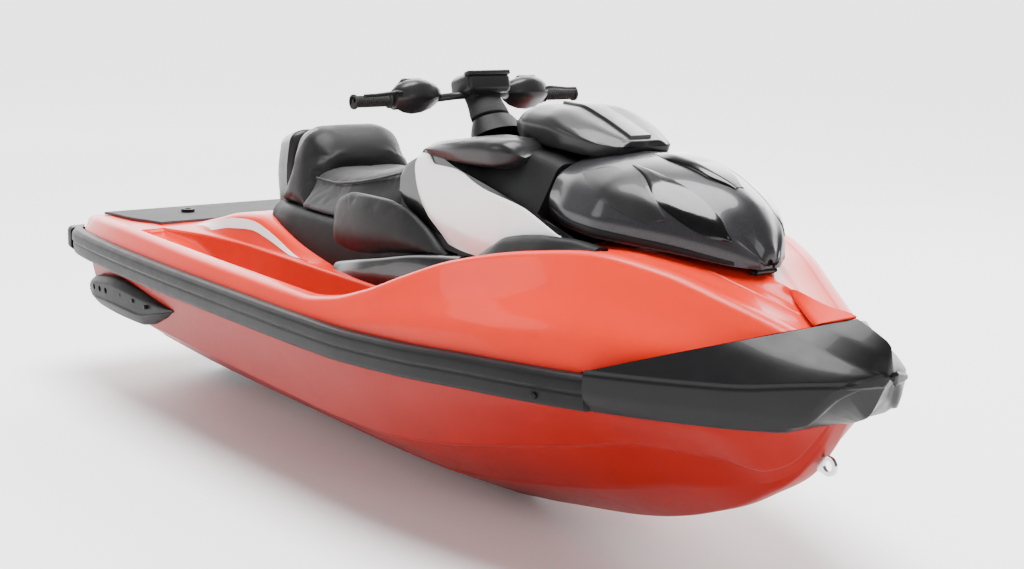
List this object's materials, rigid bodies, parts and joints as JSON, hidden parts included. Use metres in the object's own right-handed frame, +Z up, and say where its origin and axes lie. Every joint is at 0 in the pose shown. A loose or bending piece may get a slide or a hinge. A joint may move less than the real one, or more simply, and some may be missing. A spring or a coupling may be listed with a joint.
{
  "type": "sit-down personal watercraft",
  "caption": "Sit-down jet-driven personal watercraft with vee hull, footwells, saddle seat, tilted handlebar steering, hinged hood and a steered, trimmed, reversible jet nozzle.",
  "frame": {"origin": "amidships on the centreline, on the waterline at rest afloat, keel 285 mm below", "axes": "+X to the bow, +Y to port, +Z up"},
  "size_m": [3.312, 1.254, 1.202],
  "materials": {
    "bar_black": "powder coat",
    "bumper_black": "satin black moulded plastic",
    "cover_charcoal": "satin charcoal",
    "deck_orange": "gloss orange-red gelcoat",
    "engine_grey": "plain block",
    "gloss_black": "gloss black",
    "grip_rubber": "ribbed rubber",
    "hood_metallic": "metallic charcoal lacquer",
    "hull_red": "gloss red gelcoat",
    "mat_grey": "grooved foam mat",
    "panel_white": "gloss white",
    "pump_alloy": "coated cast alloy",
    "pump_steel": "stainless",
    "seat_dark": "marine vinyl, stitched",
    "seat_grey": "marine vinyl, stitched",
    "sponson_black": "moulded plastic",
    "stainless": "polished stainless",
    "trim_black": "grained black plastic"
  },
  "bodies": {
    "root": {"hull": "hull_red", "deck": "deck_orange", "side_bumper_right": "bumper_black", "side_bumper_left": "bumper_black", "bow_bumper": "bumper_black", "sponson_right": "sponson_black", "sponson_left": "sponson_black", "footwell_mat_right": "mat_grey", "footwell_mat_left": "mat_grey", "platform_mat": "mat_grey", "accessory_anchors": "trim_black", "stern_eyes": "stainless", "bow_eye": "stainless", "engine_block": "engine_grey", "seat_base": "seat_dark", "seat_cushion": "seat_dark", "seat_bolster": "seat_grey", "seat_cowl": "cover_charcoal", "console": "trim_black", "side_panel_right": "panel_white", "side_panel_left": "panel_white", "knee_shroud_right": "trim_black", "knee_shroud_left": "trim_black", "console_cover_right": "cover_charcoal", "console_cover_left": "cover_charcoal", "hood_tray": "trim_black", "steering_column": "trim_black", "jet_pump": "pump_steel", "ride_plate": "pump_alloy", "intake_grate": "pump_alloy"},
    "hood_lid": {"hood": "hood_metallic", "hood_insert": "gloss_black", "upper_fairing": "cover_charcoal"},
    "glovebox": {"glovebox_lid": "cover_charcoal"},
    "steering": {"steering_neck": "trim_black", "handlebar": "bar_black", "display_pod": "trim_black", "grip_right": "grip_rubber", "grip_left": "grip_rubber", "control_right": "trim_black", "control_left": "trim_black"},
    "impeller": {"impeller": "pump_steel"},
    "trim": {"trim_ring": "pump_alloy"},
    "nozzle": {"steering_nozzle": "pump_alloy"},
    "bucket": {"reverse_bucket": "pump_alloy"}
  },
  "joints": [
    {"name": "steering", "type": "hinge", "parent": "root", "child": "steering", "pos_m": [0.15, 0, 0.752], "axis": [-0.6157, 0, 0.788], "range_deg": [-25, 25]},
    {"name": "hood_hinge", "type": "hinge", "parent": "root", "child": "hood_lid", "pos_m": [1.246, 0, 0.52], "axis": [0, 1, 0], "range_deg": [0, 50]},
    {"name": "glovebox_hinge", "type": "hinge", "parent": "root", "child": "glovebox", "pos_m": [-0.026, 0, 0.674], "axis": [0, -1, 0], "range_deg": [0, 75]},
    {"name": "impeller_spin", "type": "hinge", "parent": "root", "child": "impeller", "pos_m": [-1.3, 0, -0.13], "axis": [1, 0, 0], "continuous": true},
    {"name": "nozzle_trim", "type": "hinge", "parent": "root", "child": "trim", "pos_m": [-1.476, 0, -0.13], "axis": [0, -1, 0], "range_deg": [-8, 8]},
    {"name": "nozzle_steer", "type": "hinge", "parent": "trim", "child": "nozzle", "pos_m": [-1.476, 0, -0.13], "axis": [0, 0, 1], "range_deg": [-20, 20]},
    {"name": "bucket_drop", "type": "hinge", "parent": "root", "child": "bucket", "pos_m": [-1.432, 0, -0.13], "axis": [0, -1, 0], "range_deg": [0, 60]}
  ],
  "couplings": [
    {"joint": "nozzle_steer", "follows": "steering", "ratio": -0.8}
  ]
}
